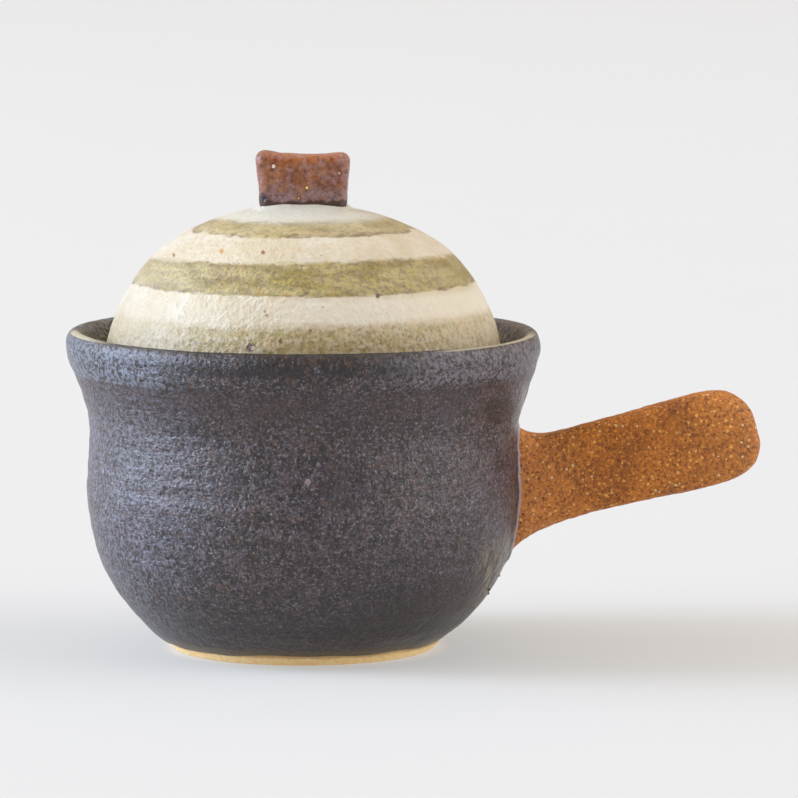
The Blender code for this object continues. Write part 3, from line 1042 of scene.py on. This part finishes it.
def brushed_band(s, colour, olive, brush, height, edges, share):
    """The colour with an olive band on it, between edges that waver with the height, at this share."""
    lean = s.math("MULTIPLY_ADD", s.x, BAND_LEAN[0], s.product(s.y, BAND_LEAN[1]))
    above = s.math("SUBTRACT", height, edges[0])
    below = s.math("SUBTRACT", s.math("ADD", lean, edges[1]), height)
    inside = s.product(s.between(above, -0.32 * MM, 0.32 * MM), s.between(below, -0.8 * MM, 0.8 * MM))
    cover = s.product(inside, s.scaled(s.between(brush, 0.30, 0.62), 0.96, 0.74))
    colour = s.mix(cover, colour, olive, share)

    # Purple-brown lines where the pigment gathered, stronger along the lower edge
    lower_line = s.product(s.between(above, -0.3 * MM, 0.1 * MM), s.between(above, 1.1 * MM, 0.3 * MM))
    upper_line = s.product(s.between(below, 0.0, 0.4 * MM), s.between(below, 1.4 * MM, 0.6 * MM))
    broken = s.between(s.noise(6 * MM, 4.0, s.stretched(1.0, 1.0, 3.0)), 0.46, 0.64)
    lines = s.product(s.math("MAXIMUM", lower_line, s.product(upper_line, 0.6)), broken)
    return s.mix(lines, colour, linear(98, 74, 56), 0.65)


# Knob glaze


def knob_glaze():
    """Thin iron glaze over red-brown clay, purple-grey where it gathers low and orange on the top edge."""
    s = Surface("knob_glaze", 0.45)
    large = s.noise(5 * MM, 3.0)
    colour = s.mix(s.between(large, 0.38, 0.64), linear(140, 84, 54), linear(166, 108, 72))
    low = s.math("ADD", s.z, s.scaled(s.noise(4 * MM), -2.2 * MM, 2.2 * MM))
    colour = s.mix(s.between(low, 124.4 * MM, 120.4 * MM), colour, linear(134, 114, 116), 0.8)
    colour = s.mix(s.between(low, 128.4 * MM, 129.8 * MM), colour, linear(166, 94, 44), 0.8)
    grey = s.noise(1.8 * MM, 4.0, roughness=0.65)
    colour = s.mix(s.between(grey, 0.50, 0.62), colour, linear(156, 130, 138), 0.55)
    colour = s.mix(s.between(grey, 0.46, 0.36), colour, linear(150, 84, 38), 0.6)
    # Purple-grey glaze towards both ends, partly a painted sheen on the rounded ends
    ends = s.between(s.math("ABSOLUTE", s.x), 9.4 * MM, 12.0 * MM)
    colour = s.mix(ends, colour, linear(146, 112, 114), 0.5)
    colour = s.mix(s.between(s.x, -5 * MM, -11 * MM), colour, linear(132, 76, 44), 0.4)
    fine = s.noise(1.1 * MM, 4.0, roughness=0.7)
    colour = s.mix(s.between(fine, 0.49, 0.38), colour, linear(86, 46, 34), 0.6)
    colour = s.mix(s.between(fine, 0.53, 0.66), colour, linear(190, 136, 112), 0.5)
    colour = s.mix(s.between(low, 119.7 * MM, 118.9 * MM), colour, linear(62, 38, 22), 0.9)
    dark = s.specks(2.6 * MM, 0.30, 0.5 * MM, 0.6)
    colour = s.mix(dark, colour, linear(60, 34, 30), 0.8)
    orange = s.specks(3.0 * MM, 0.4, 0.42 * MM, 0.2)
    colour = s.mix(orange, colour, linear(226, 128, 56), 0.7)
    for spot_x, spot_z, size, tint in KNOB_SPOTS:
        colour = s.mix(s.spot(spot_x * MM, spot_z * MM, 1.9 * size * MM), colour, linear(70, 40, 30), 0.5)
        colour = s.mix(s.spot(spot_x * MM, spot_z * MM, size * MM), colour, linear(*tint))
    height = s.math("SUBTRACT", s.math("MULTIPLY_ADD", large, 1.2, fine), s.product(dark, 0.6))
    height = s.math("SUBTRACT", height, s.product(s.spot(*KNOB_PIT, 1.1 * MM), 1.5))
    return s.finish(colour, height, 0.24 * MM, s.scaled(fine, 0.26, 0.48))


# Floor, light and camera


def make_floor():
    """A wide matt off-white table top, with a faint glow of its own that keeps it even."""
    mesh = bpy.data.meshes.new("floor")
    half = FLOOR_SIZE / 2
    corners = [(-half, -half, 0.0), (half, -half, 0.0), (half, half, 0.0), (-half, half, 0.0)]
    mesh.from_pydata(corners, [], [(0, 1, 2, 3)])
    floor = bpy.data.objects.new("floor", mesh)
    bpy.context.scene.collection.objects.link(floor)
    s = Surface("floor", 0.9)
    soft = s.noise(0.25, 2.0)
    colour = s.mix(soft, (0.393, 0.393, 0.393, 1.0), (0.403, 0.403, 0.403, 1.0))
    s.feed(s.shader.inputs["Base Color"], colour)
    s.shader.inputs["Emission Color"].default_value = FLOOR_TONE
    s.shader.inputs["Emission Strength"].default_value = FLOOR_GLOW
    s.shader.inputs["Specular IOR Level"].default_value = 0.1
    mesh.materials.append(s.material)


def make_world():
    """A soft white room: brighter upwards, dim in front and overhead, with a glow on each side."""
    world = bpy.data.worlds.new("room")
    bpy.context.scene.world = world
    world.use_nodes = True
    room = Nodes(world.node_tree)
    way = room.add("TexCoord").outputs["Generated"]
    parts = room.add("SeparateXYZ", {"Vector": way}).outputs
    level = room.math("MULTIPLY_ADD", parts["Z"], 0.86, 0.24)
    front = room.between(parts["Y"], -0.15, -0.85)
    ceiling = room.between(parts["Z"], 0.78, 0.97)
    level = room.product(level, room.scaled(front, 1.0, 0.30), room.scaled(ceiling, 1.0, 0.35))
    light = room.add("VectorMath", {0: ROOM_COLOUR, "Scale": level}, operation="SCALE").outputs[0]
    for towards, strength in SIDE_GLOWS:
        side = room.add("VectorMath", {0: way, 1: towards}, operation="DOT_PRODUCT").outputs["Value"]
        inputs = {0: strength, "Scale": room.between(side, 0.72, 1.0)}
        glow = room.add("VectorMath", inputs, operation="SCALE").outputs[0]
        light = room.add("VectorMath", {0: light, 1: glow}, operation="ADD").outputs[0]
    above = room.between(parts["Z"], 0.02, 0.08)
    shine = world.node_tree.nodes["Background"]
    room.feed(shine.inputs["Color"], room.mix(above, FLOOR_TONE, light))


def make_key():
    """A cool window, up on the left."""
    data = bpy.data.lights.new("window", "AREA")
    data.shape = "RECTANGLE"
    data.size, data.size_y = KEY_SIZE
    data.energy = KEY_ENERGY
    data.color = KEY_COLOUR
    window = bpy.data.objects.new("window", data)
    out = Vector((-math.cos(KEY_HEIGHT), 0.0, math.sin(KEY_HEIGHT)))
    window.location = out * KEY_DISTANCE
    window.rotation_euler = out.to_track_quat("Z", "Y").to_euler()
    bpy.context.scene.collection.objects.link(window)


def make_camera():
    """A long lens in front, a little above the pot and looking slightly down."""
    data = bpy.data.cameras.new("camera")
    data.sensor_width = 36.0
    data.lens = CAMERA_LENS
    data.clip_end = 100.0
    camera = bpy.data.objects.new("camera", data)
    camera.location = CAMERA_PLACE
    camera.rotation_euler = (CAMERA_PITCH, 0.0, 0.0)
    bpy.context.scene.collection.objects.link(camera)
    bpy.context.scene.camera = camera


def main():
    scene = bpy.context.scene
    scene.view_settings.view_transform = "Standard"
    make_camera()
    make_pot_body(dark_glaze())
    make_foot(bare_clay())
    make_handle(handle_clay())
    make_lid(cream_glaze())
    make_knob(knob_glaze())
    make_floor()
    make_world()
    make_key()


main()
